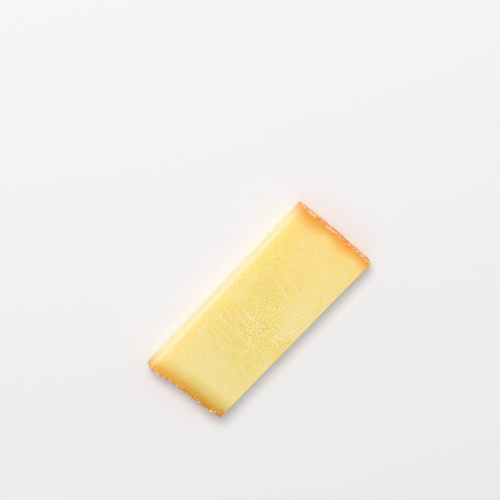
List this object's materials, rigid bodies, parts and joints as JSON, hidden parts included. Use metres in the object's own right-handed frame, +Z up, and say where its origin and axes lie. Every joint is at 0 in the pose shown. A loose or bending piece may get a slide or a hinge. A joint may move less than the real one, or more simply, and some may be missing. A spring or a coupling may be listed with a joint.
{
  "type": "comte slice",
  "caption": "Flat oblong slice of firm pale yellow pressed cheese, with a thin craggy orange-brown rind along each short end. It lies flat.",
  "frame": {"origin": "middle of the slice's box, on the flat cut face that it lies on", "axes": "+X along the slice, from one rind to the other, +Y across it, +Z up out of the upper cut face"},
  "size_m": [0.1036, 0.0422, 0.0093],
  "materials": {
    "cheese": "satin, slightly oily cut paste of a pale straw yellow, deeper orange next to the rind",
    "rind": "matt and grainy, orange-brown with pale pinkish flecks"
  },
  "bodies": {
    "root": {"comte_slice": "cheese"}
  },
  "joints": []
}
